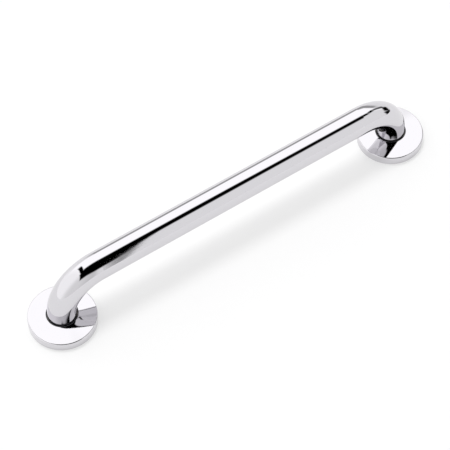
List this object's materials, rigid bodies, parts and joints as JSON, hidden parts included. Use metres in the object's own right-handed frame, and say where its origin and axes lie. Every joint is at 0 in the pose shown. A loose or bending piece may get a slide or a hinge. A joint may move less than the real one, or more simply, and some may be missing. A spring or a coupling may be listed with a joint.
{
  "type": "grab rail",
  "caption": "Straight chrome grab rail: a round tube bent down at both ends onto wall plates, each hidden by a round sliding cover.",
  "frame": {"origin": "midway between the two flanges, on the wall plane that their gaskets lie on", "axes": "+X along the rail, +Y across it, +Z away from the wall"},
  "size_m": [0.5162, 0.0762, 0.0825],
  "materials": {
    "chrome_tube": "polished chrome plate on steel tube",
    "chrome_cover": "polished chrome plate on pressed steel sheet",
    "dark_nylon": "moulded dark nylon",
    "turned_steel": "turned stainless steel",
    "braze_metal": "dull silver-brass filler",
    "plate_steel": "faced stainless steel",
    "gasket_rubber": "matt rubber sheet",
    "seal_rubber": "moulded rubber ring",
    "screw_steel": "plain stainless steel"
  },
  "bodies": {
    "rail": {"rail_tube": "chrome_tube", "end_socket_left": "turned_steel", "end_socket_right": "turned_steel", "braze_ring_left": "braze_metal", "braze_ring_right": "braze_metal", "wall_plate_left": "plate_steel", "wall_plate_right": "plate_steel", "wall_gasket_left": "gasket_rubber", "wall_gasket_right": "gasket_rubber", "cover_seal_left": "seal_rubber", "cover_seal_right": "seal_rubber", "grub_screw_left_1": "screw_steel", "grub_screw_left_2": "screw_steel", "grub_screw_left_3": "screw_steel", "grub_screw_right_1": "screw_steel", "grub_screw_right_2": "screw_steel", "grub_screw_right_3": "screw_steel"},
    "guide_left": {"cover_guide_left": "dark_nylon"},
    "guide_right": {"cover_guide_right": "dark_nylon"},
    "cover_left": {"cover_left": "chrome_cover"},
    "cover_right": {"cover_right": "chrome_cover"}
  },
  "joints": [
    {"name": "cover_slide_left", "type": "slide", "parent": "rail", "child": "guide_left", "axis": [0, 0, 1], "range_m": [0, 0.009]},
    {"name": "cover_slide_right", "type": "slide", "parent": "rail", "child": "guide_right", "axis": [0, 0, 1], "range_m": [0, 0.009]},
    {"name": "cover_turn_left", "type": "hinge", "parent": "guide_left", "child": "cover_left", "pos_m": [-0.22, 0, 0.0143], "axis": [0, 0, 1], "continuous": true},
    {"name": "cover_turn_right", "type": "hinge", "parent": "guide_right", "child": "cover_right", "pos_m": [0.22, 0, 0.0143], "axis": [0, 0, 1], "continuous": true}
  ]
}
